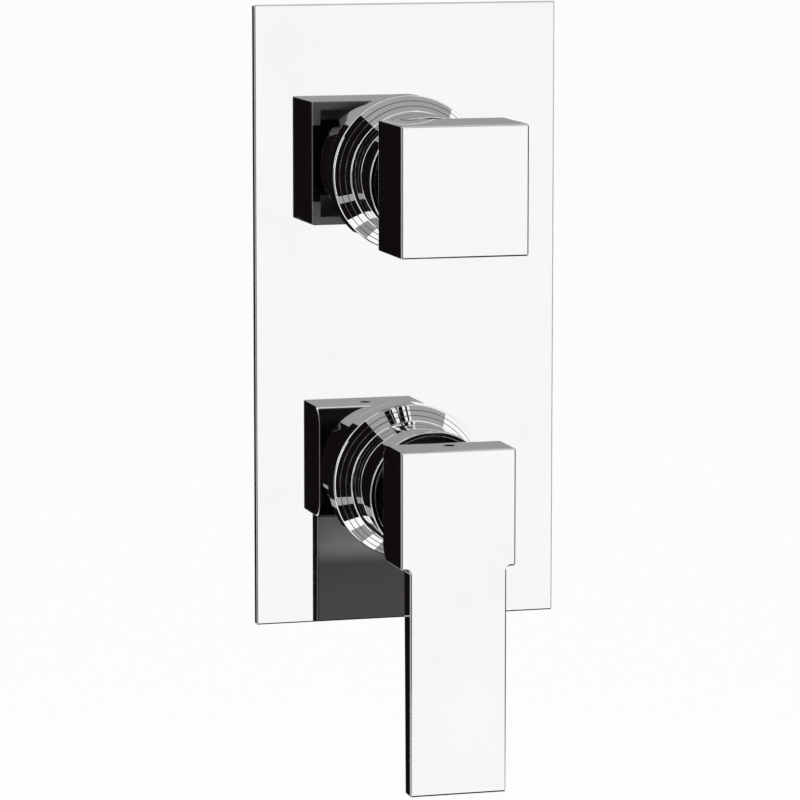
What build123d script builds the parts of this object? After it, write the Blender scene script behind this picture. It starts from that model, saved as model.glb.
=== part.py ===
from build123d import *
import os
from math import cos, radians, sin

# Concealed shower mixer with a diverter: chrome trim on the wall, brass valve body inside it.
# Millimetres. X is right, Y points into the wall, Z is up. The origin is the centre of the two
# fixing holes, on the flat back of the valve body.

# Cover plate on the finished wall
build_in = 50.0
plate_width = 110.0
plate_height = 220.0
plate_thickness = 3.0
plate_edge = 0.5
diverter_rise = 50.0
lever_drop = 60.0
gasket_inset = 3.0
gasket_width = 5.0
gasket_thickness = 1.5

# Turned sleeves, lengths measured out of the plate's front
sleeve_radius = 22.5
sleeve_wall = 1.9
sleeve_length = 34.5
rim_edge = 0.5
flange_radius = 27.7
flange_lip = 4.5
flange_height = 9.6
flange_edge = 1.4
flange_foot = 0.8
seal_radius = 25.2
seal_section = 0.84

# Lever
head_side = 41.0
head_back = 43.3
head_depth = 23.9
head_back_round = 6.5
head_wall = 3.0
head_core_depth = 16.0
lever_length = 120.5
blade_width = 34.5
blade_root = 8.3
blade_tip = 6.5
step_round = 1.5
lever_edge = 0.6
lever_hub_radius = 10.5
lever_hub_length = 2.3
key_hole_radius = 2.0

# Diverter knob
knob_side = 45.0
knob_back = 45.0
knob_depth = 29.5
knob_wall = 3.0
knob_front_wall = 4.0
knob_edge = 0.6
knob_hub_radius = 9.0
knob_hub_gap = 0.85

# Grub screws
grub_radius = 2.45
grub_length = 6.0
grub_socket_radius = 1.25
grub_socket_depth = 2.5

# Lever cartridge, worked out from the lift pivot and the ball below it
lift_pivot = 28.0
lift_range = 25.0
ball_arm = 12.0
ball_radius = 3.0
spindle_side = 8.0
spindle_reach = 32.0
spindle_shank = 4.0
stem_radius = 2.0
pin_radius = 1.5
turret_radius = 11.5
turret_flange_radius = 13.5
turret_flange = 2.7
turret_rise = 5.0
ring_section = 0.64
carrier_radius = 12.2
carrier_thickness = 6.5
carrier_above_ball = 2.5
key_offset = 9.5
key_width = 2.0
key_height = 1.8
key_length = 7.0
disc_thickness = 4.0
fixed_disc_radius = 15.0
mixing_radius = 5.2
mixing_depth = 2.0
inlet_circle = 7.3
inlet_angle = 30.0
outlet_rise = 3.4
port_radius = 2.4
disc_peg_radius = 1.2
disc_peg_length = 1.5
moving_peg_offset = 8.5
fixed_peg_offset = 12.2
cartridge_radius = 17.5
cartridge_wall = 2.3
cartridge_roof = 2.0
collar_radius = 14.5
collar_length = 7.0
base_plug = 5.0
base_flange = 2.0
base_peg_radius = 1.5
base_peg_length = 3.0
base_peg_offset = 13.2
port_seal_width = 0.9
port_seal_thickness = 1.0
nut_thread_radius = 18.8
nut_length = 7.5
nut_flats = 34.0
nut_hex = 3.5

# Diverter cartridge
diverter_floor = -8.0
diverter_spindle_radius = 4.0
diverter_spindle_reach = 17.0
diverter_flat = 0.6
diverter_gasket_thickness = 1.5
diverter_disc_thickness = 4.0
diverter_disc_radius = 11.2
diverter_port_circle = 7.2
diverter_port_radius = 2.7
diverter_channel = 1.4
drive_flange = 3.0
drive_tongue = 1.5
drive_tongue_length = 14.0
headwork_radius = 13.0
headwork_skirt_wall = 1.5
headwork_flats = 30.0
headwork_hex = 5.0
headwork_nose_radius = 8.0
headwork_nose = 5.0
spindle_ring_section = 0.6
clip_thickness = 0.9
clip_width = 2.5
clip_gap = 4.0

# Valve body
neck_length = 28.0
mixer_barrel_radius = 25.0
diverter_barrel_radius = 22.0
barrel_back = 4.0
barrel_front = 47.0
duct_radius = 13.0
duct_bore = 7.0
duct_stop = 10.0
branch_depth = 22.0
branch_radius = 14.0
branch_reach = 40.0
branch_flats = 28.0
branch_hex = 10.0
thread_radius = 10.48
thread_length = 15.0
passage_radius = 4.0
ear_spacing = 54.0
ear_radius = 8.5
ear_thickness = 7.0
ear_hole_radius = 2.75
ear_rib = 8.0
cast_edge = 1.5
cast_fillet = 3.0

# Clearances
running = 0.1
pin_fit = 0.05
slip = 0.25
play = 0.3
film = 0.05

# Cutters run this far past a face, edges are picked within this band, and a swing is cut in these steps
overrun = 2.0
pick_band = 0.01
swing_steps = 5

plate_front = build_in + plate_thickness
lever_z = -lever_drop
diverter_z = diverter_rise
sleeve_bore = sleeve_radius - sleeve_wall
neck_radius = sleeve_bore - slip


def out(distance):
    # y of a plane that lies this far out of the plate's front
    return -(plate_front + distance)


def turned(z, *points):
    # solid of revolution about the Y direction from (radius, distance out of the plate) points
    profile = Polygon(*[(radius, out(distance)) for radius, distance in points], align=None)
    return Pos(0, 0, z) * revolve(profile, Axis.Y, 360)


def drum(radius, start, end, x=0.0, z=0.0):
    # cylinder along Y between two distances out of the plate
    middle = (out(start) + out(end)) / 2
    return Pos(x, middle, z) * Rot(90, 0, 0) * Cylinder(radius, abs(end - start))


def block(width, start, end, low, high, x=0.0):
    # box between two distances out of the plate and two heights
    place = Pos(x, (out(start) + out(end)) / 2, (low + high) / 2)
    return place * Box(width, abs(end - start), high - low)


def ring(radius, section, distance, z):
    return Pos(0, out(distance), z) * Rot(90, 0, 0) * Torus(radius, section)


def hex_bar(flats, length):
    return extrude(RegularPolygon(flats / 2, 6, major_radius=False), length)


def hexagon(flats, start, end, z):
    # hexagonal bar along Y
    return Pos(0, out(start), z) * Rot(90, 0, 0) * hex_bar(flats, end - start)


def pair(radius, offset, start, end, z=0.0):
    # two pegs along Y, left and right
    return drum(radius, start, end, x=-offset, z=z) + drum(radius, start, end, x=offset, z=z)


def across(radius, start, end, y, z):
    # cylinder along X
    return Pos((start + end) / 2, y, z) * Rot(0, 90, 0) * Cylinder(radius, abs(end - start))


def upright(radius, start, end, y, x=0.0):
    # cylinder along Z
    return Pos(x, y, (start + end) / 2) * Cylinder(radius, abs(end - start))


def edges_at(shape, axis, place):
    return shape.edges().filter_by_position(axis, place - pick_band, place + pick_band)


def corners_at(profile, distance):
    # corners of a profile at this distance out of the plate
    place = out(distance)
    return profile.vertices().filter_by_position(Axis.Y, place - pick_band, place + pick_band)


# Cover plate and its gasket
def gasket_frame(depth):
    width = plate_width - 2 * gasket_inset
    height = plate_height - 2 * gasket_inset
    frame = Rectangle(width, height) - Rectangle(width - 2 * gasket_width, height - 2 * gasket_width)
    return Pos(0, -build_in, 0) * extrude(Rot(90, 0, 0) * frame, depth, dir=(0, -1, 0))


def cover_plate():
    middle = -build_in - plate_thickness / 2
    plate = Pos(0, middle, 0) * Box(plate_width, plate_thickness, plate_height)
    plate = fillet(plate.edges().filter_by(Axis.Y), plate_edge)
    plate = fillet(edges_at(plate, Axis.Y, out(0)), plate_edge)
    for z in (lever_z, diverter_z):
        plate -= drum(sleeve_bore, -plate_thickness, 0, z=z)
    return plate - gasket_frame(gasket_thickness)


# Turned sleeve: conical flange with a rounded edge, seal groove in its foot and a plain tube
def sleeve(z):
    profile = Polygon(
        (sleeve_bore, out(0)),
        (flange_radius, out(0)),
        (flange_radius, out(flange_lip)),
        (sleeve_radius, out(flange_height)),
        (sleeve_radius, out(sleeve_length)),
        (sleeve_bore, out(sleeve_length)),
        align=None,
    )
    profile = fillet(corners_at(profile, flange_lip), flange_edge)
    profile = fillet(corners_at(profile, flange_height), flange_foot)
    profile = fillet(corners_at(profile, sleeve_length), rim_edge)
    shape = Pos(0, 0, z) * revolve(profile, Axis.Y, 360)
    groove = seal_section + film
    outer = drum(seal_radius + groove, 0, 2 * groove, z=z)
    return shape - (outer - drum(seal_radius - groove, 0, 2 * groove, z=z))


def sleeve_seal(z):
    return ring(seal_radius, seal_section, seal_section + film / 2, z)


# Lever: head, hub and blade are one casting
head_front = head_back + head_depth
half_head = head_side / 2
blade_low = half_head - lever_length


def lever():
    head = block(head_side, head_back, head_front, -half_head, half_head)
    rear = edges_at(head, Axis.Y, out(head_back)).filter_by(Axis.X)
    head = fillet(rear, head_back_round)
    side = Polygon(
        (out(head_front), -half_head + overrun),
        (out(head_front), blade_low),
        (out(head_front - blade_tip), blade_low),
        (out(head_front - blade_root), -half_head + overrun),
        align=None,
    )
    blade = extrude(Plane.YZ * side, blade_width / 2, both=True)
    back = blade.faces().sort_by(Axis.Y)[-1]
    blade = fillet(back.edges().sort_by(SortBy.LENGTH)[-2:], lever_edge)
    body = head + blade
    half_blade = blade_width / 2 + pick_band
    corner = edges_at(body, Axis.Z, -half_head).filter_by_position(Axis.X, -half_blade, half_blade)
    body = fillet(corner.filter_by(Axis.Y), step_round)
    outer = edges_at(body, Axis.Y, out(head_front)) + edges_at(body, Axis.Z, blade_low)
    outer += edges_at(body, Axis.X, -half_head) + edges_at(body, Axis.X, half_head)
    body = fillet(set(outer), lever_edge)
    core_half = half_head - head_back_round
    body -= block(head_side - 2 * head_wall, head_back, head_back + head_core_depth, -core_half, core_half)
    body += drum(lever_hub_radius, head_back - lever_hub_length, head_back + head_core_depth)
    socket = spindle_side + 2 * pin_fit
    reach = lift_pivot + spindle_reach + pin_fit
    body -= block(socket, head_back - lever_hub_length, reach, -socket / 2, socket / 2)
    screw_at = out((head_back + head_front) / 2)
    body -= upright(grub_radius + pin_fit, 0, core_half, screw_at)
    body -= upright(key_hole_radius, 0, half_head, screw_at)
    return Pos(0, 0, lever_z) * body


def lever_grub_screw():
    start = spindle_side / 2 + pin_fit
    place = out((head_back + head_front) / 2)
    screw = upright(grub_radius, start, start + grub_length, place)
    top = start + grub_length
    screw -= upright(grub_socket_radius, top - grub_socket_depth, top, place)
    return Pos(0, 0, lever_z) * screw


def spindle():
    shank = block(spindle_side, lift_pivot - spindle_shank, lift_pivot + spindle_reach,
                  -spindle_side / 2, spindle_side / 2)
    stem = drum(stem_radius, lift_pivot - ball_arm, lift_pivot - spindle_shank)
    ball = Pos(0, out(lift_pivot - ball_arm), 0) * Sphere(ball_radius)
    body = shank + stem + ball
    hole = pin_radius + pin_fit
    body -= across(hole, -spindle_side, spindle_side, out(lift_pivot), 0)
    return Pos(0, 0, lever_z) * body


# Lever cartridge: heights of its layers, measured out of the plate's front
carrier_top = lift_pivot - ball_arm + carrier_above_ball
carrier_low = carrier_top - carrier_thickness
moving_low = carrier_low - disc_thickness
fixed_top = moving_low - film
fixed_low = fixed_top - disc_thickness
flange_low = fixed_low - base_plug
base_low = flange_low - base_flange
mixer_floor = base_low - port_seal_thickness
turret_low = carrier_top + play
turret_step = turret_low + turret_flange
roof_low = turret_step + play
roof_top = roof_low + cartridge_roof
collar_top = roof_top + collar_length
turret_top = lift_pivot + turret_rise
disc_travel = ball_arm * sin(radians(lift_range))
carrier_z = disc_travel / 2
ring_place = (roof_top + collar_top) / 2
ring_depth = 2 * ring_section - running + film

# Water passes the discs here: two inlets below the axis, the outlet above it. The chamber in the moving
# disc is clear of both inlets while the lever is down, at every turn of it, and meets them as it lifts.
inlet_x = inlet_circle * sin(radians(inlet_angle))
inlet_z = -inlet_circle * cos(radians(inlet_angle))
ports = ((-inlet_x, inlet_z), (inlet_x, inlet_z), (0.0, outlet_rise))


def turret():
    body = turned(
        0,
        (0, turret_low),
        (turret_flange_radius, turret_low),
        (turret_flange_radius, turret_step),
        (turret_radius, turret_step),
        (turret_radius, turret_top),
        (0, turret_top),
    )
    width = spindle_side + 2 * play
    for step in range(swing_steps):
        angle = lift_range * step / (swing_steps - 1)
        upper = Box(width, ball_arm + spindle_shank, width)
        upper = Pos(0, -(ball_arm + spindle_shank) / 2 + spindle_shank + play, 0) * upper
        lower = Box(width, ball_arm + play, 2 * (ball_radius + play))
        lower = Pos(0, (ball_arm + play) / 2, 0) * lower
        body -= Pos(0, out(lift_pivot), 0) * Rot(-angle, 0, 0) * (upper + lower)
    hole = pin_radius + pin_fit
    body -= across(hole, -turret_radius, turret_radius, out(lift_pivot), 0)
    groove = drum(turret_radius, ring_place - ring_section - film, ring_place + ring_section + film)
    groove -= drum(turret_radius - ring_depth, ring_place - overrun, ring_place + overrun)
    reach = key_length / 2 + disc_travel / 2 + play
    slot = key_width + 2 * running
    slot_end = carrier_top + key_height + play
    for x in (-key_offset, key_offset):
        body -= block(slot, turret_low, slot_end, -reach, reach, x=x)
    return Pos(0, 0, lever_z) * (body - groove)


def turret_ring():
    centre = turret_radius + running - film / 2 - ring_section
    return ring(centre, ring_section, ring_place, lever_z)


def pivot_pin():
    half = turret_radius - pin_radius
    return Pos(0, 0, lever_z) * across(pin_radius, -half, half, out(lift_pivot), 0)


def disc_carrier():
    body = drum(carrier_radius, carrier_low, carrier_top, z=carrier_z)
    pocket = carrier_top - carrier_above_ball - ball_radius - play
    body -= drum(ball_radius + play, pocket, carrier_top)
    low = carrier_z - key_length / 2
    for x in (-key_offset, key_offset):
        body += block(key_width, carrier_top, carrier_top + key_height, low, low + key_length, x=x)
    body += pair(disc_peg_radius, moving_peg_offset, carrier_low - disc_peg_length, carrier_low, carrier_z)
    return Pos(0, 0, lever_z) * body


def moving_disc():
    body = drum(carrier_radius, moving_low, carrier_low, z=carrier_z)
    body -= drum(mixing_radius, moving_low, moving_low + mixing_depth, z=carrier_z)
    hole = disc_peg_radius + pin_fit
    body -= pair(hole, moving_peg_offset, carrier_low - disc_peg_length - film, carrier_low, carrier_z)
    return Pos(0, 0, lever_z) * body


def drilled(body, start, end, radius):
    for x, z in ports:
        body -= drum(radius, start, end, x=x, z=z)
    return body


def fixed_disc():
    body = drum(fixed_disc_radius, fixed_low, fixed_top)
    hole = disc_peg_radius + pin_fit
    body -= pair(hole, fixed_peg_offset, fixed_low, fixed_low + disc_peg_length + film)
    return Pos(0, 0, lever_z) * drilled(body, fixed_low, fixed_top, port_radius)


def cartridge_base():
    plug = cartridge_radius - cartridge_wall - running
    body = drum(plug, flange_low, fixed_low) + drum(cartridge_radius, base_low, flange_low)
    body += pair(disc_peg_radius, fixed_peg_offset, fixed_low, fixed_low + disc_peg_length)
    body += pair(base_peg_radius, base_peg_offset, base_low - base_peg_length, base_low)
    return Pos(0, 0, lever_z) * drilled(body, base_low, fixed_low, port_radius)


def cartridge_seals():
    inner = port_radius + running
    rings = []
    for x, z in ports:
        body = drum(inner + port_seal_width, mixer_floor, base_low, x=x, z=z)
        body -= drum(inner, mixer_floor, base_low, x=x, z=z)
        rings.append(Pos(0, 0, lever_z) * body)
    return Compound(children=rings)


def cartridge_housing():
    bore = cartridge_radius - cartridge_wall
    return turned(
        lever_z,
        (bore, flange_low),
        (cartridge_radius, flange_low),
        (cartridge_radius, roof_top),
        (collar_radius, roof_top),
        (collar_radius, collar_top),
        (turret_radius + running, collar_top),
        (turret_radius + running, roof_low),
        (bore, roof_low),
    )


def cartridge_nut():
    body = drum(nut_thread_radius, roof_top, roof_top + nut_length, z=lever_z)
    cut = roof_top + nut_length - nut_hex
    head = drum(nut_thread_radius, cut, roof_top + nut_length, z=lever_z)
    body -= head - hexagon(nut_flats, cut, roof_top + nut_length, lever_z)
    return body - drum(collar_radius + slip, roof_top, roof_top + nut_length, z=lever_z)


# Diverter cartridge: heights of its layers, measured out of the plate's front
gasket_top = diverter_floor + diverter_gasket_thickness
diverter_fixed_top = gasket_top + diverter_disc_thickness
diverter_moving_low = diverter_fixed_top + film
diverter_moving_top = diverter_moving_low + diverter_disc_thickness
drive_top = diverter_moving_top + drive_flange
skirt_top = drive_top + play
hex_top = neck_length + headwork_hex
nose_top = hex_top + headwork_nose
skirt_bore = headwork_radius - headwork_skirt_wall
spindle_bore = diverter_spindle_radius + running
diverter_ring_place = (skirt_top + neck_length) / 2
knob_front = knob_back + knob_depth
diverter_spindle_top = knob_back + diverter_spindle_reach
clip_low = nose_top + slip
flat_height = diverter_spindle_radius - diverter_flat

# The feed is at the centre. A channel in the moving disc joins it to the top outlet, or, a quarter turn
# on, to the side outlet.
diverter_ports = ((0.0, 0.0), (0.0, diverter_port_circle), (diverter_port_circle, 0.0))


def diverter_headwork():
    body = drum(headwork_radius, gasket_top, neck_length)
    body += hexagon(headwork_flats, neck_length, hex_top, 0)
    body += drum(headwork_nose_radius, hex_top, nose_top)
    body -= drum(skirt_bore, gasket_top, skirt_top)
    body -= drum(spindle_bore, skirt_top, nose_top)
    return Pos(0, 0, diverter_z) * body


def ported(radius, start, end):
    body = drum(radius, start, end)
    for x, z in diverter_ports:
        body -= drum(diverter_port_radius, start, end, x=x, z=z)
    return body


def diverter_gasket():
    return Pos(0, 0, diverter_z) * ported(headwork_radius - running, diverter_floor, gasket_top)


def diverter_fixed_disc():
    return Pos(0, 0, diverter_z) * ported(diverter_disc_radius, gasket_top, diverter_fixed_top)


def diverter_moving_disc():
    body = drum(diverter_disc_radius - running, diverter_moving_low, diverter_moving_top)
    slot = drive_tongue_length + 2 * running
    half = drive_tongue / 2 + running
    body -= block(slot, diverter_moving_top - drive_tongue - running, diverter_moving_top, -half, half)
    end = diverter_moving_low + diverter_channel
    channel = block(2 * diverter_port_radius, diverter_moving_low, end, 0, diverter_port_circle)
    for z in (0.0, diverter_port_circle):
        channel += drum(diverter_port_radius, diverter_moving_low, end, z=z)
    return Pos(0, 0, diverter_z) * (body - channel)


def diverter_spindle():
    body = drum(diverter_disc_radius - running, diverter_moving_top, drive_top)
    body += drum(diverter_spindle_radius, drive_top, diverter_spindle_top)
    half = drive_tongue / 2
    body += block(drive_tongue_length, diverter_moving_top - drive_tongue, diverter_moving_top, -half, half)
    body -= groove_round(diverter_ring_place - spindle_ring_section - film,
                         diverter_ring_place + spindle_ring_section + film,
                         2 * spindle_ring_section - running + film)
    body -= groove_round(clip_low - film, clip_low + clip_thickness + film, spindle_ring_section)
    width = 2 * diverter_spindle_radius
    body -= block(width, knob_back, diverter_spindle_top, -diverter_spindle_radius, -flat_height)
    return Pos(0, 0, diverter_z) * body


def groove_round(start, end, depth):
    inner = drum(diverter_spindle_radius - depth, start, end)
    return drum(diverter_spindle_radius + overrun, start, end) - inner


def diverter_spindle_ring():
    centre = spindle_bore - film / 2 - spindle_ring_section
    return ring(centre, spindle_ring_section, diverter_ring_place, diverter_z)


def diverter_clip():
    inner = diverter_spindle_radius - spindle_ring_section + film
    body = drum(inner + clip_width, clip_low, clip_low + clip_thickness)
    body -= drum(inner, clip_low, clip_low + clip_thickness)
    body -= block(clip_gap, clip_low, clip_low + clip_thickness, 0, inner + clip_width)
    return Pos(0, 0, diverter_z) * body


def diverter_knob():
    half = knob_side / 2
    body = block(knob_side, knob_back, knob_front, -half, half)
    body = fillet(body.edges(), knob_edge)
    core = half - knob_wall
    core_end = knob_front - knob_front_wall
    body -= block(2 * core, knob_back, core_end, -core, core)
    hub_back = clip_low + clip_thickness + knob_hub_gap
    body += drum(knob_hub_radius, hub_back, core_end)
    body -= drum(diverter_spindle_radius + pin_fit, hub_back, diverter_spindle_top + pin_fit)
    screw_at = out(knob_back + diverter_spindle_reach / 2)
    body -= upright(grub_radius + pin_fit, -core, 0, screw_at)
    body -= upright(key_hole_radius, -half, 0, screw_at)
    return Pos(0, 0, diverter_z) * body


def knob_grub_screw():
    start = -flat_height - pin_fit
    place = out(knob_back + diverter_spindle_reach / 2)
    screw = upright(grub_radius, start - grub_length, start, place)
    low = start - grub_length
    screw -= upright(grub_socket_radius, low, low + grub_socket_depth, place)
    return Pos(0, 0, diverter_z) * screw


# Valve body: one brass casting with two necks, a duct between them, four threaded branches and two ears
def valve_body():
    y = -branch_depth
    body = casting()
    foot = barrel_front - plate_front - overrun
    for z in (lever_z, diverter_z):
        body += drum(neck_radius, foot, neck_length, z=z)
    start = branch_reach - branch_hex
    for x, z in ((-branch_reach, lever_z), (start, lever_z), (start, diverter_z)):
        body += Pos(x, y, z) * Rot(0, 90, 0) * hex_bar(branch_flats, branch_hex)
    body += Pos(0, y, diverter_z + start) * hex_bar(branch_flats, branch_hex)
    body += ears()
    body -= drum(cartridge_radius + slip, mixer_floor, neck_length, z=lever_z)
    hole = base_peg_radius + pin_fit
    body -= pair(hole, base_peg_offset, base_low - base_peg_length - film, mixer_floor, lever_z)
    body -= drum(nut_thread_radius + running, roof_top, neck_length, z=lever_z)
    body -= drum(headwork_radius + running, diverter_floor, neck_length, z=diverter_z)
    return body - waterways()


def casting():
    # barrels, duct and branches, with a fillet in every corner between them
    y = -branch_depth
    back = barrel_back - plate_front
    front = barrel_front - plate_front
    body = drum(mixer_barrel_radius, back, front, z=lever_z)
    body += drum(diverter_barrel_radius, back, front, z=diverter_z)
    body += upright(duct_radius, lever_z, diverter_z, y)
    body += across(branch_radius, -branch_reach, branch_reach, y, lever_z)
    body += across(branch_radius, 0, branch_reach, y, diverter_z)
    body += upright(branch_radius, diverter_z, diverter_z + branch_reach, y)
    body = fillet(body.edges().filter_by(GeomType.BSPLINE), cast_fillet)
    for distance in (back, front):
        body = fillet(edges_at(body, Axis.Y, out(distance)), cast_edge)
    return body


def ears():
    outline = SlotCenterToCenter(ear_spacing, 2 * ear_radius)
    for side in (-1, 1):
        outline -= Pos(side * ear_spacing / 2, 0) * Circle(ear_hole_radius)
    plate = extrude(Rot(90, 0, 0) * outline, ear_thickness, dir=(0, -1, 0))
    rib = Pos(0, -branch_depth / 2, 0) * Box(2 * ear_rib, branch_depth, 2 * ear_radius)
    return plate + rib


def waterways():
    y = -branch_depth
    end = branch_reach - thread_length
    shape = upright(duct_bore, lever_z + outlet_rise, diverter_z - duct_stop, y)
    shape += upright(diverter_port_radius, diverter_z - duct_stop, diverter_z, y)
    shape += upright(thread_radius, diverter_z + end, diverter_z + branch_reach, y)
    shape += upright(passage_radius, diverter_z + diverter_port_circle, diverter_z + end, y)
    shape += across(thread_radius, end, branch_reach, y, diverter_z)
    shape += across(passage_radius, diverter_port_circle, end, y, diverter_z)
    for side in (-1, 1):
        shape += across(thread_radius, side * end, side * branch_reach, y, lever_z)
        shape += across(passage_radius, side * inlet_x, side * end, y, lever_z + inlet_z + port_radius)
    behind = branch_depth - plate_front
    for x, z in ports:
        shape += drum(port_radius, behind, mixer_floor, x=x, z=lever_z + z)
    for x, z in diverter_ports:
        shape += drum(diverter_port_radius, behind, diverter_floor, x=x, z=diverter_z + z)
    return shape


pieces = {
    "cover_plate": cover_plate(),
    "plate_gasket": gasket_frame(gasket_thickness),
    "lever_sleeve": sleeve(lever_z),
    "diverter_sleeve": sleeve(diverter_z),
    "lever_sleeve_seal": sleeve_seal(lever_z),
    "diverter_sleeve_seal": sleeve_seal(diverter_z),
    "lever": lever(),
    "lever_grub_screw": lever_grub_screw(),
    "spindle": spindle(),
    "turret": turret(),
    "turret_ring": turret_ring(),
    "pivot_pin": pivot_pin(),
    "disc_carrier": disc_carrier(),
    "moving_disc": moving_disc(),
    "fixed_disc": fixed_disc(),
    "cartridge_base": cartridge_base(),
    "cartridge_seals": cartridge_seals(),
    "cartridge_housing": cartridge_housing(),
    "cartridge_nut": cartridge_nut(),
    "diverter_headwork": diverter_headwork(),
    "diverter_gasket": diverter_gasket(),
    "diverter_fixed_disc": diverter_fixed_disc(),
    "diverter_moving_disc": diverter_moving_disc(),
    "diverter_spindle": diverter_spindle(),
    "diverter_spindle_ring": diverter_spindle_ring(),
    "diverter_clip": diverter_clip(),
    "diverter_knob": diverter_knob(),
    "knob_grub_screw": knob_grub_screw(),
    "valve_body": valve_body(),
}

os.makedirs("parts", exist_ok=True)
for name, shape in pieces.items():
    export_step(shape, f"parts/{name}.step")
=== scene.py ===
from math import cos, hypot, pi, radians, sin

import bpy
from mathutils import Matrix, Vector


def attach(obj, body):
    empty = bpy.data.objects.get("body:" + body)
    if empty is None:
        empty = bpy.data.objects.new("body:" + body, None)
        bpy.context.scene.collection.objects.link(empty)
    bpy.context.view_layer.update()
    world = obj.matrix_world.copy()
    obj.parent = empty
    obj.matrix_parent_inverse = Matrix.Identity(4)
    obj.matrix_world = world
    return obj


# Lengths are metres in the part's own frame: X right, Y into the wall, Z up
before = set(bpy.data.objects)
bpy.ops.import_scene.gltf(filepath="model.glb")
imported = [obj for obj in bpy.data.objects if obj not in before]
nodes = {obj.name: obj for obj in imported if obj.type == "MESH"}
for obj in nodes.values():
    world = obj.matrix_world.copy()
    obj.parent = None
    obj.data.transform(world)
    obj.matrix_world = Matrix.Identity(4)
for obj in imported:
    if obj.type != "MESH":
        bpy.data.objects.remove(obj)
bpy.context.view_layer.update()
scene = bpy.context.scene
print("frame loaded:", len(nodes), "nodes")


# Shader wires: an expression on wires adds its Math nodes
class Wire:
    def __init__(self, tree, socket=None):
        self.tree = tree
        self.socket = socket

    def node(self, kind, settings=None, inputs=None, out=0):
        made = self.tree.nodes.new(kind)
        for name, value in (settings or {}).items():
            setattr(made, name, value)
        for name, value in (inputs or {}).items():
            if isinstance(value, Wire):
                self.tree.links.new(value.socket, made.inputs[name])
            else:
                made.inputs[name].default_value = value
        return Wire(self.tree, made.outputs[out] if made.outputs else None)

    def maths(self, operation, *values):
        return self.node("ShaderNodeMath", {"operation": operation}, dict(enumerate(values)))

    def __add__(self, other):
        return self.maths("ADD", self, other)

    def __radd__(self, other):
        return self.maths("ADD", other, self)

    def __sub__(self, other):
        return self.maths("SUBTRACT", self, other)

    def __rsub__(self, other):
        return self.maths("SUBTRACT", other, self)

    def __mul__(self, other):
        return self.maths("MULTIPLY", self, other)

    def __rmul__(self, other):
        return self.maths("MULTIPLY", other, self)

    def __gt__(self, other):
        return self.maths("GREATER_THAN", self, other)

    def __lt__(self, other):
        return self.maths("LESS_THAN", self, other)

    def __abs__(self):
        return self.maths("ABSOLUTE", self)

    def larger(self, other):
        return self.maths("MAXIMUM", self, other)

    def smooth(self, low, high):
        # 0 below low, 1 above high and an even curve between
        return self.node("ShaderNodeMapRange", {"interpolation_type": "SMOOTHSTEP"},
                         {"Value": self, "From Min": low, "From Max": high})


def newMaterial(name):
    material = bpy.data.materials.new(name)
    material.use_nodes = True
    material.node_tree.nodes.clear()
    return material, Wire(material.node_tree)


def closeMaterial(wire, sockets):
    shader = wire.node("ShaderNodeBsdfPrincipled", None, sockets)
    wire.node("ShaderNodeOutputMaterial", None, {"Surface": shader})


def coordinates(wire, name):
    return wire.node("ShaderNodeTexCoord", None, None, name)


def stretch(wire, place, scale):
    return wire.node("ShaderNodeMapping", None, {"Vector": place, "Scale": scale})


def noise(wire, place, scale, detail):
    sockets = {"Vector": place, "Scale": scale, "Detail": detail}
    return wire.node("ShaderNodeTexNoise", None, sockets)


def separate(wire, vector):
    made = wire.node("ShaderNodeSeparateXYZ", None, {"Vector": vector}).socket.node
    return [Wire(wire.tree, socket) for socket in made.outputs]


mixSockets = {"first": 6, "second": 7, "result": 2}  # the colour sockets of a Mix node


def blendColours(wire, factor, first, second):
    ends = {"Factor": factor, mixSockets["first"]: first, mixSockets["second"]: second}
    return wire.node("ShaderNodeMix", {"data_type": "RGBA"}, ends, mixSockets["result"])


def grey(level):
    return (level, level, level, 1.0)


# Chrome trim: polished all over and rough and dark at the back; the backs of the knob and
# lever carry painted reflection and painted shade, and the rings painted shade
chrome = {
    "bright": (0.955, 0.958, 0.962, 1.0),
    "cloudy": (0.930, 0.935, 0.942, 1.0),
    "polish": 0.018,
    "haze": 0.030,
    "hazeScale": 38.0,
    "hazeDetail": 4.0,
    "hazeRange": (0.35, 0.75),
    "wipeScale": 260.0,
    "wipeDetail": 3.0,
    "wipeRange": (0.50, 0.85),
    "wipeStretch": (1.0, 1.0, 0.08),
    "rawRoughness": 0.34,
    # dark tone of the backs, also painted on the rings as painted shade
    "darkTone": (0.090, 0.086, 0.084, 1.0),
    "wallTurn": (0.30, 0.50),  # how far a face has to turn to the wall
    "satinRoughness": 0.50,
    "rightTurn": (0.08, 0.20),  # and to the right
}
# painted reflection and painted shade on the lever's back: a lighter root of the blade, a
# near-black back of the head
leverPaintedBack = {
    "root": (0.300, 0.285, 0.280, 1.0),
    "rootHeights": (-0.1015, -0.0930),
    "head": (0.020, 0.017, 0.018, 1.0),
    "headBottom": -0.0825,
}
# painted reflection and painted shade on the knob's back: lighter pads, near-black webs
knobPaintedBack = {
    "pad": (0.250, 0.236, 0.230, 1.0),
    "web": (0.020, 0.017, 0.018, 1.0),
    "webHalf": 0.0139,
    "axisHeight": 0.050,
}
plateSheet = {
    "rolled": (0.46, 0.46, 0.47, 1.0),
    "rolledDark": (0.36, 0.36, 0.37, 1.0),
    "streakScale": 420.0,
    "streakDetail": 4.0,
    "streakRange": (0.30, 0.70),
    "streakStretch": (1.0, 1.0, 0.03),
}
# painted dark reflection: share of each ring painted with the dark tone
paintedDarkLine = {
    "share": 0.94,
    "change": 0.05,
    "waves": 900.0,
}


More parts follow.
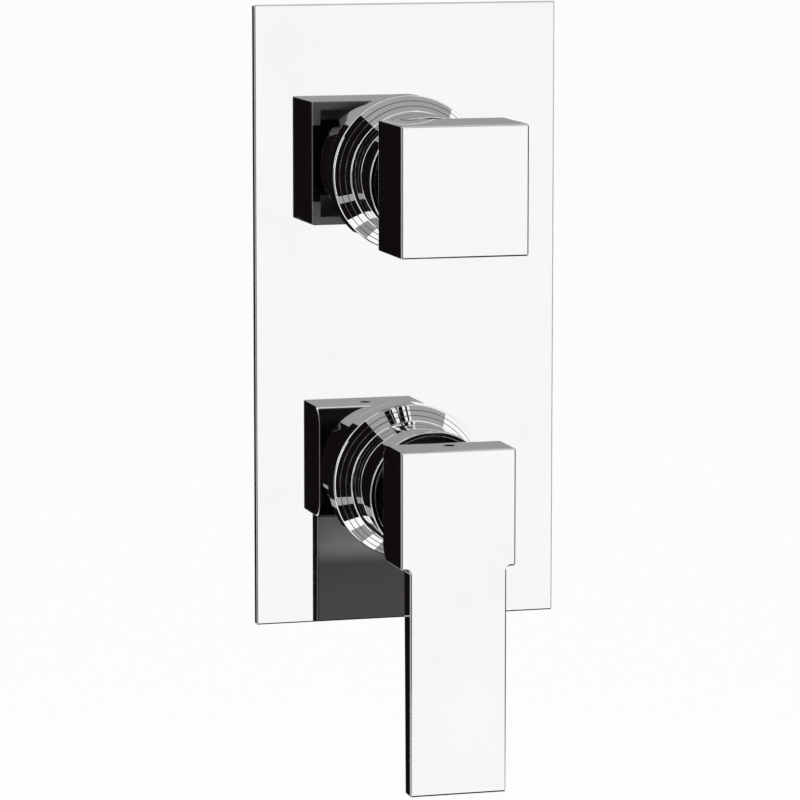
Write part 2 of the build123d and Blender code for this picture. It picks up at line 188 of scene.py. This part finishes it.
def chromeMaterial(name, rawAndPainted=None, satinPart=None):
    material, wire = newMaterial(name)
    place = coordinates(wire, "Object")
    haze = noise(wire, place, chrome["hazeScale"], chrome["hazeDetail"])
    haze = haze.smooth(*chrome["hazeRange"])
    stretched = stretch(wire, place, chrome["wipeStretch"])
    wipes = noise(wire, stretched, chrome["wipeScale"], chrome["wipeDetail"])
    wipes = wipes.smooth(*chrome["wipeRange"])
    colour = blendColours(wire, haze, chrome["bright"], chrome["cloudy"])
    roughness = chrome["polish"] + chrome["haze"] * haze * wipes
    if rawAndPainted:
        # the back's colour: rolled sheet on the plate, painted reflection and painted shade
        # on the knob, lever and rings
        mask, rawAndPaintedColour = rawAndPainted(wire, place)
        colour = blendColours(wire, mask, colour, rawAndPaintedColour)
        roughness = roughness * (1 - mask) + chrome["rawRoughness"] * mask
    if satinPart:
        satin = satinPart(wire)
        roughness = roughness * (1 - satin) + chrome["satinRoughness"] * satin
    closeMaterial(wire, {"Base Color": colour, "Metallic": 1.0, "Roughness": roughness})
    return material


def facingWall(wire):
    # faces that look at the wall have plating over the raw metal, never polished and dark in
    # tone; on the knob and lever they also carry painted reflection and painted shade
    normal = coordinates(wire, "Normal")
    return separate(wire, normal)[1].smooth(*chrome["wallTurn"])


def facingRight(wire):
    # the sheared edge of the plate is only brushed
    normal = coordinates(wire, "Normal")
    return separate(wire, normal)[0].smooth(*chrome["rightTurn"])


def knobBack(wire, place):
    # painted reflection makes the pads above and below lighter, and painted shade makes the
    # webs at the sides near black
    z = separate(wire, place)[2]
    web = abs(z - knobPaintedBack["axisHeight"]) < knobPaintedBack["webHalf"]
    return facingWall(wire), blendColours(wire, web, knobPaintedBack["pad"], knobPaintedBack["web"])


def leverBack(wire, place):
    # painted reflection lightens the root of the blade, and the back of the head above it is
    # painted near black as painted shade
    z = separate(wire, place)[2]
    root = z.smooth(*leverPaintedBack["rootHeights"])
    blade = blendColours(wire, root, chrome["darkTone"], leverPaintedBack["root"])
    head = z > leverPaintedBack["headBottom"]
    return facingWall(wire), blendColours(wire, head, blade, leverPaintedBack["head"])


def plateBack(wire, place):
    # sheet metal as rolled, with faint streaks along its length
    stretched = stretch(wire, place, plateSheet["streakStretch"])
    streaks = noise(wire, stretched, plateSheet["streakScale"], plateSheet["streakDetail"])
    streaks = streaks.smooth(*plateSheet["streakRange"])
    return facingWall(wire), blendColours(wire, streaks, plateSheet["rolled"],
                                          plateSheet["rolledDark"])


def everywhere(wire, place):
    # dull, and painted with the dark tone all round as a painted dark reflection that draws
    # each ring as a line, with a slight change along the height
    waves = separate(wire, place)[2] * paintedDarkLine["waves"]
    share = paintedDarkLine["share"] + paintedDarkLine["change"] * waves.maths("SINE", waves)
    return share, chrome["darkTone"]


# Brass: sand-cast body with a turned neck under nickel plating, its colour darkened as
# painted shade where it sits in the recess, and turned pieces
brass = {
    "clean": (0.640, 0.450, 0.190, 1.0),
    "dull": (0.420, 0.290, 0.130, 1.0),
    # painted shade: colour of the nickel plating, darkened for the recess behind the trim
    "nickelShade": (0.150, 0.145, 0.140, 1.0),
    "castRoughness": 0.42,
    "turnedRoughness": 0.24,
    "stainRoughness": 0.10,
    "stainScale": 45.0,
    "stainDetail": 6.0,
    "stainRange": (0.35, 0.75),
    "grainScale": 1500.0,
    "grainDetail": 3.0,
    "grainDepth": 0.00012,
    "neckStart": -0.0505,
    "hexStart": 0.0300,
    "hexTop": 0.0800,
}


def brassMaterial(name, cast, shadedPlating):
    material, wire = newMaterial(name)
    place = coordinates(wire, "Object")
    x, y, z = separate(wire, place)
    stain = noise(wire, place, brass["stainScale"], brass["stainDetail"])
    stained = stain.smooth(*brass["stainRange"])
    colour = blendColours(wire, stained, brass["clean"], brass["dull"])
    roughness = brass["turnedRoughness"] + brass["stainRoughness"] * stain
    sockets = {"Metallic": 1.0}
    neck = y < brass["neckStart"]
    if cast:
        turned = neck.larger(abs(x) > brass["hexStart"]).larger(z > brass["hexTop"])
        rough = 1 - turned
        roughness = roughness + (brass["castRoughness"] - brass["turnedRoughness"]) * rough
        grain = noise(wire, place, brass["grainScale"], brass["grainDetail"])
        bumps = {"Height": grain * rough, "Distance": brass["grainDepth"], "Strength": 1.0}
        sockets["Normal"] = wire.node("ShaderNodeBump", None, bumps)
    # painted shade: the neck takes the darkened nickel colour
    if shadedPlating:
        colour = blendColours(wire, neck, colour, brass["nickelShade"])
    sockets["Base Color"] = colour
    sockets["Roughness"] = roughness
    closeMaterial(wire, sockets)
    return material


# Plastic, lapped ceramic and rubber: one colour with a fine uneven tone and a small grain
moulded = {
    "toneDetail": 5.0,
    "toneRange": (0.35, 0.70),
    "grainDetail": 2.0,
    "plastic": {
        "pale": (0.72, 0.72, 0.70, 1.0), "deep": (0.63, 0.63, 0.61, 1.0),
        "roughness": 0.42, "spread": 0.14, "toneScale": 140.0,
        "grainScale": 2600.0, "grainDepth": 0.00003,
    },
    "ceramic": {
        "pale": (0.84, 0.83, 0.79, 1.0), "deep": (0.76, 0.74, 0.70, 1.0),
        "roughness": 0.16, "spread": 0.08, "toneScale": 420.0,
        "grainScale": 5200.0, "grainDepth": 0.00001,
    },
    "rubber": {
        "pale": (0.034, 0.034, 0.035, 1.0), "deep": (0.018, 0.018, 0.018, 1.0),
        "roughness": 0.62, "spread": 0.20, "toneScale": 300.0,
        "grainScale": 3800.0, "grainDepth": 0.00004,
    },
    "gasket": {
        "pale": (0.095, 0.095, 0.098, 1.0), "deep": (0.055, 0.055, 0.056, 1.0),
        "roughness": 0.78, "spread": 0.15, "toneScale": 220.0,
        "grainScale": 2200.0, "grainDepth": 0.00008,
    },
}


def mouldedMaterial(name, make):
    material, wire = newMaterial(name)
    place = coordinates(wire, "Object")
    tone = noise(wire, place, make["toneScale"], moulded["toneDetail"])
    toned = tone.smooth(*moulded["toneRange"])
    colour = blendColours(wire, toned, make["pale"], make["deep"])
    roughness = make["roughness"] + make["spread"] * tone
    grain = noise(wire, place, make["grainScale"], moulded["grainDetail"])
    bumps = {"Height": grain, "Distance": make["grainDepth"], "Strength": 1.0}
    bump = wire.node("ShaderNodeBump", None, bumps)
    closeMaterial(wire, {"Base Color": colour, "Roughness": roughness, "Normal": bump})
    return material


# Stainless steel, brushed along the wall's depth
steel = {
    "bright": (0.62, 0.62, 0.63, 1.0),
    "dark": (0.46, 0.46, 0.47, 1.0),
    "roughness": 0.22,
    "spread": 0.16,
    "brushScale": 1800.0,
    "brushDetail": 3.0,
    "brushRange": (0.30, 0.75),
    "brushStretch": (1.0, 0.04, 1.0),
}


def steelMaterial(name):
    material, wire = newMaterial(name)
    stretched = stretch(wire, coordinates(wire, "Object"), steel["brushStretch"])
    brush = noise(wire, stretched, steel["brushScale"], steel["brushDetail"])
    brush = brush.smooth(*steel["brushRange"])
    colour = blendColours(wire, brush, steel["bright"], steel["dark"])
    roughness = steel["roughness"] + steel["spread"] * brush
    closeMaterial(wire, {"Base Color": colour, "Metallic": 1.0, "Roughness": roughness})
    return material


# the rings' material paints them dark as a painted dark reflection
chromeLine = chromeMaterial("chromeLine", everywhere)
brassTurned = brassMaterial("brassTurned", cast=False, shadedPlating=False)
finishes = [
    (chromeMaterial("chromePlain"), ["lever_sleeve", "diverter_sleeve"]),
    (chromeMaterial("chromePlate", plateBack, facingRight), ["cover_plate"]),
    (chromeMaterial("chromeLever", leverBack), ["lever"]),
    (chromeMaterial("chromeKnob", knobBack), ["diverter_knob"]),
    (brassMaterial("brassCast", cast=True, shadedPlating=True), ["valve_body"]),
    (brassMaterial("brassPlatedShade", cast=False, shadedPlating=True),
     ["cartridge_nut", "diverter_headwork"]),
    (brassTurned, ["diverter_spindle"]),
    (mouldedMaterial("plasticMoulded", moulded["plastic"]),
     ["cartridge_housing", "cartridge_base", "turret", "disc_carrier"]),
    (mouldedMaterial("ceramicLapped", moulded["ceramic"]),
     ["fixed_disc", "moving_disc", "diverter_fixed_disc", "diverter_moving_disc"]),
    (mouldedMaterial("rubberSeal", moulded["rubber"]),
     ["lever_sleeve_seal", "diverter_sleeve_seal", "cartridge_seals", "turret_ring",
      "diverter_gasket", "diverter_spindle_ring"]),
    (mouldedMaterial("rubberGasket", moulded["gasket"]), ["plate_gasket"]),
    (steelMaterial("steelBrushed"),
     ["pivot_pin", "spindle", "lever_grub_screw", "knob_grub_screw", "diverter_clip"]),
]
for material, names in finishes:
    for name in names:
        nodes[name].data.materials.clear()
        nodes[name].data.materials.append(material)
print("materials done")

# Ridges of the four inside pipe threads, in the plain bores of the valve body
thread = {
    "pitch": 0.001814,
    "wall": 0.01050,
    "crest": 0.00932,
    "rootWidth": 0.00160,
    "crestWidth": 0.00040,
    "turns": 7,
    "steps": 48,
    "lead": 0.0012,
    "smoothAngle": 40.0,
    "mouths": {
        "hotInletThread": ((-0.040, -0.022, -0.060), (0.0, -pi / 2, 0.0)),
        "coldInletThread": ((0.040, -0.022, -0.060), (0.0, pi / 2, 0.0)),
        "topOutletThread": ((0.0, -0.022, 0.090), (0.0, 0.0, 0.0)),
        "sideOutletThread": ((0.040, -0.022, 0.050), (0.0, pi / 2, 0.0)),
    },
}
upright = (pi / 2, 0.0, 0.0)  # turns what lies flat to face the room


def selectOnly(piece):
    bpy.ops.object.select_all(action="DESELECT")
    piece.select_set(True)
    bpy.context.view_layer.objects.active = piece


def editing(piece):
    selectOnly(piece)
    bpy.ops.object.mode_set(mode="EDIT")


def wind(model, steps, pitch=0.0, turns=1):
    # sweeps the section about Z, then fills its four-sided ends and turns its faces outwards
    wound = model.modifiers.new("wound", "SCREW")
    wound.axis = "Z"
    wound.screw_offset = pitch
    wound.iterations = turns
    wound.steps = steps
    wound.render_steps = steps
    bpy.ops.object.modifier_apply(modifier="wound")
    editing(model)
    bpy.ops.mesh.select_all(action="SELECT")
    bpy.ops.mesh.fill_holes(sides=4)
    bpy.ops.mesh.normals_make_consistent(inside=False)
    bpy.ops.object.mode_set(mode="OBJECT")


def placeCopy(model, name, place, turn):
    # a copy with its own mesh, which takes up its place in the body
    selectOnly(model)
    bpy.ops.object.duplicate()
    piece = bpy.context.object
    piece.name = name
    piece.location = place
    piece.rotation_euler = turn
    bpy.ops.object.transform_apply(location=True, rotation=True)
    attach(piece, "body")


def dropModel(model):
    selectOnly(model)
    bpy.ops.object.delete()


def modelThread():
    # a trapezoid beside the axis, wound inwards from a mouth at the origin
    depth = thread["wall"] - thread["crest"]
    middle = (thread["wall"] + thread["crest"]) / 2
    inmost = -thread["lead"] - thread["pitch"] * thread["turns"]
    bpy.ops.object.select_all(action="DESELECT")
    bpy.ops.mesh.primitive_plane_add(size=1.0, rotation=upright)
    model = bpy.context.object
    bpy.ops.object.transform_apply(rotation=True)
    editing(model)
    bpy.ops.mesh.delete(type="ONLY_FACE")
    bpy.ops.mesh.select_all(action="SELECT")
    bpy.ops.transform.resize(value=(depth, 1.0, thread["rootWidth"]))
    bpy.ops.transform.translate(value=(middle, 0.0, inmost))
    bpy.ops.object.mode_set(mode="OBJECT")
    for vertex in model.data.vertices:
        vertex.select = vertex.co.x < middle
    editing(model)
    bpy.ops.transform.resize(value=(1.0, 1.0, thread["crestWidth"] / thread["rootWidth"]))
    bpy.ops.object.mode_set(mode="OBJECT")
    wind(model, thread["steps"], thread["pitch"], thread["turns"])
    bpy.ops.object.shade_smooth_by_angle(angle=radians(thread["smoothAngle"]))
    model.data.materials.append(brassTurned)
    return model


threadModel = modelThread()
for name, (place, turn) in thread["mouths"].items():
    placeCopy(threadModel, name, place, turn)
dropModel(threadModel)
print("threads done")

# Two fine rings turned on each sleeve's cone, low enough to show as lines
bead = {
    "section": 0.00060,
    "rise": 0.00003,
    "plateFront": -0.053,
    "lip": (0.0277, 0.0045),  # radius, and distance from the plate's front
    "foot": (0.0225, 0.0096),
    "shares": {"Outer": 0.34, "Inner": 0.67},  # of the way from lip to foot
    "around": 128,
    "across": 20,
    "sleeves": {"leverSleeve": -0.060, "diverterSleeve": 0.050},
}


def modelRing(share):
    # a round section, under the cone but for its rise, turned once about the sleeve's axis
    inwards = bead["foot"][0] - bead["lip"][0]
    forwards = bead["foot"][1] - bead["lip"][1]
    length = hypot(inwards, forwards)
    sunk = bead["section"] - bead["rise"]
    radius = bead["lip"][0] + inwards * share - sunk * forwards / length
    height = bead["lip"][1] + forwards * share + sunk * inwards / length
    bpy.ops.object.select_all(action="DESELECT")
    bpy.ops.mesh.primitive_circle_add(vertices=bead["across"], radius=bead["section"],
                                      rotation=upright)
    model = bpy.context.object
    bpy.ops.object.transform_apply(rotation=True)
    editing(model)
    bpy.ops.mesh.select_all(action="SELECT")
    bpy.ops.transform.translate(value=(radius, 0.0, height))
    bpy.ops.object.mode_set(mode="OBJECT")
    wind(model, bead["around"])
    bpy.ops.object.shade_smooth()
    model.data.materials.append(chromeLine)
    return model


for shareName, share in bead["shares"].items():
    ringModel = modelRing(share)
    for sleeveName, height in bead["sleeves"].items():
        place = (0.0, bead["plateFront"], height)
        placeCopy(ringModel, sleeveName + shareName + "Ring", place, upright)
    dropModel(ringModel)
print("rings done")

# Studio: pale floor, white surround, soft lamps, and cards that only the metal sees
studio = {
    "floorDrop": 0.95,
    "floorSize": 60.0,
    "floorColour": grey(0.90),
    "floorWhite": 0.95,
    "white": grey(1.0),
    "worldLight": 0.55,
    "black": (0.0060, 0.0044, 0.0052, 1.0),
    "cardTurns": {"X": (pi / 2, 0.0, pi / 2), "Y": upright, "Z": (0.0, 0.0, 0.0)},
    "cards": {  # the axis it is square to, centre, size, and level with 0 for black
        "blackFrontLeft": ("Y", (-0.31, -1.05, -0.01), (0.34, 0.64), 0.0),
        "blackFrontMiddle": ("Y", (-0.01, -1.05, -0.135), (0.26, 0.39), 0.0),
        "blackFrontLow": ("Y", (-0.02, -1.05, -0.46), (0.22, 0.30), 0.0),
        "greyFrontLow": ("Y", (-0.22, -1.06, -0.46), (0.18, 0.30), 0.35),
        "greyFarLeft": ("Y", (-0.96, -1.07, -0.20), (1.04, 0.50), 0.32),
        "blackSideLeft": ("X", (-1.52, -0.58, 0.37), (0.76, 2.06), 0.0),
        "greySideLow": ("X", (-1.51, -0.44, -0.80), (1.28, 0.28), 0.35),
        "blackBehindLeft": ("X", (-1.52, 0.66, 0.0), (0.92, 2.00), 0.0),
        "blackBackLeft": ("Y", (-0.50, 1.00, -0.22), (0.80, 0.76), 0.0),
        "whiteStripLeft": ("X", (-1.60, 0.0, 0.0), (0.34, 1.60), 1.3),
        "blackRight": ("X", (1.30, 0.12, -0.20), (2.56, 0.54), 0.0),
        "greyFrontRight": ("Y", (0.88, -1.16, -0.20), (0.82, 0.54), 0.32),
        "blackBelowFront": ("Z", (0.28, -1.50, -0.90), (1.24, 2.40), 0.0),
        "blackBelowRight": ("Z", (0.55, -0.14, -0.905), (0.86, 0.34), 0.0),
        "blackBelowLeft": ("Z", (-1.18, -0.15, -0.90), (0.66, 0.90), 0.0),
        "greyBelowLeft": ("Z", (-0.48, -0.14, -0.91), (0.26, 0.32), 0.30),
        "greyBelow": ("Z", (-0.02, -0.14, -0.91), (0.28, 0.32), 0.30),
        "blackBelowBack": ("Z", (0.0, 0.72, -0.90), (2.0, 1.40), 0.0),
        "greyFrontTop": ("Y", (0.18, -1.07, 0.48), (1.28, 0.84), 0.34),
        "greyAbove": ("Z", (0.30, -0.10, 1.05), (1.80, 0.96), 0.36),
        "blackAboveLeft": ("Z", (-1.08, -0.20, 1.06), (0.94, 1.30), 0.0),
        "darkAboveBack": ("Z", (0.20, 0.62, 1.05), (1.8, 0.44), 0.06),
    },
    "lampSize": 1.6,
    "lampTarget": (0.0, -0.05, -0.03),
    "lamps": {  # place and power
        "keyLamp": ((-1.2, -1.6, 1.8), 32.0),
        "fillLamp": ((1.6, -1.2, 0.9), 16.0),
        "backLamp": ((0.4, 1.8, 1.6), 18.0),
    },
}


def backgroundShare(wire):
    # 1 where the camera, metal or glass sees the background, 0 where it only lights
    outs = wire.node("ShaderNodeLightPath").socket.node.outputs
    seen = Wire(wire.tree, outs["Is Camera Ray"])
    for name in ("Is Glossy Ray", "Is Transmission Ray"):
        seen = seen.larger(Wire(wire.tree, outs[name]))
    return seen


def buildWorld():
    world = bpy.data.worlds.new("studioWorld")
    world.use_nodes = True
    world.node_tree.nodes.clear()
    wire = Wire(world.node_tree)
    seen = backgroundShare(wire)
    strength = studio["worldLight"] * (1 - seen) + seen
    sockets = {"Color": studio["white"], "Strength": strength}
    shader = wire.node("ShaderNodeBackground", None, sockets)
    wire.node("ShaderNodeOutputWorld", None, {"Surface": shader})
    scene.world = world


def buildFloor():
    bpy.ops.object.select_all(action="DESELECT")
    place = (0.0, 0.0, -studio["floorDrop"])
    bpy.ops.mesh.primitive_plane_add(size=studio["floorSize"], location=place)
    floor = bpy.context.object
    floor.name = "studioFloor"
    material, wire = newMaterial("floorPaper")
    matte = wire.node("ShaderNodeBsdfDiffuse", None, {"Color": studio["floorColour"]})
    white = wire.node("ShaderNodeEmission", None, {"Color": studio["white"], "Strength": 1.0})
    share = backgroundShare(wire) * studio["floorWhite"]
    mixed = wire.node("ShaderNodeMixShader", None, {0: share, 1: matte, 2: white})
    wire.node("ShaderNodeOutputMaterial", None, {"Surface": mixed})
    floor.data.materials.append(material)


def addCard(name, axis, centre, size, level):
    bpy.ops.object.select_all(action="DESELECT")
    turn = studio["cardTurns"][axis]
    bpy.ops.mesh.primitive_plane_add(size=1.0, location=centre, rotation=turn)
    card = bpy.context.object
    card.name = name
    card.scale = (size[0], size[1], 1.0)
    material, wire = newMaterial(name)
    colour = grey(level) if level else studio["black"]
    shade = wire.node("ShaderNodeEmission", None, {"Color": colour, "Strength": 1.0})
    wire.node("ShaderNodeOutputMaterial", None, {"Surface": shade})
    card.data.materials.append(material)
    card.visible_camera = False
    card.visible_diffuse = False
    card.visible_shadow = False
    card.visible_transmission = False


def addLamp(name, place, power):
    light = bpy.data.lights.new(name, "AREA")
    light.size = studio["lampSize"]
    light.energy = power
    lamp = bpy.data.objects.new(name, light)
    scene.collection.objects.link(lamp)
    aim = Vector(studio["lampTarget"]) - Vector(place)
    lamp.location = place
    lamp.rotation_euler = aim.to_track_quat("-Z", "Y").to_euler()
    lamp.visible_glossy = False


buildWorld()
buildFloor()
for name, (axis, centre, size, level) in studio["cards"].items():
    addCard(name, axis, centre, size, level)
for name, (place, power) in studio["lamps"].items():
    addLamp(name, place, power)
print("studio done")

# Camera fitted to the photograph, for a square picture
view = {
    "azimuth": -15.631,
    "elevation": 8.089,
    "distance": 1.54098,
    "target": (-0.002133, -0.053, -0.031161),
    "focalPixels": 4322.06,
    "picturePixels": 800.0,
    "sensor": 36.0,
    "clipEnd": 100.0,
}


def buildCamera():
    turn, lift = radians(view["azimuth"]), radians(view["elevation"])
    back = Vector((sin(turn) * cos(lift), -cos(turn) * cos(lift), sin(lift)))
    data = bpy.data.cameras.new("photoCamera")
    data.sensor_width = view["sensor"]
    data.lens = view["focalPixels"] / view["picturePixels"] * view["sensor"]
    data.clip_end = view["clipEnd"]
    camera = bpy.data.objects.new("photoCamera", data)
    scene.collection.objects.link(camera)
    camera.location = Vector(view["target"]) + back * view["distance"]
    camera.rotation_euler = back.to_track_quat("Z", "Y").to_euler()
    scene.camera = camera


buildCamera()
scene.view_settings.view_transform = "Standard"
print("camera done")
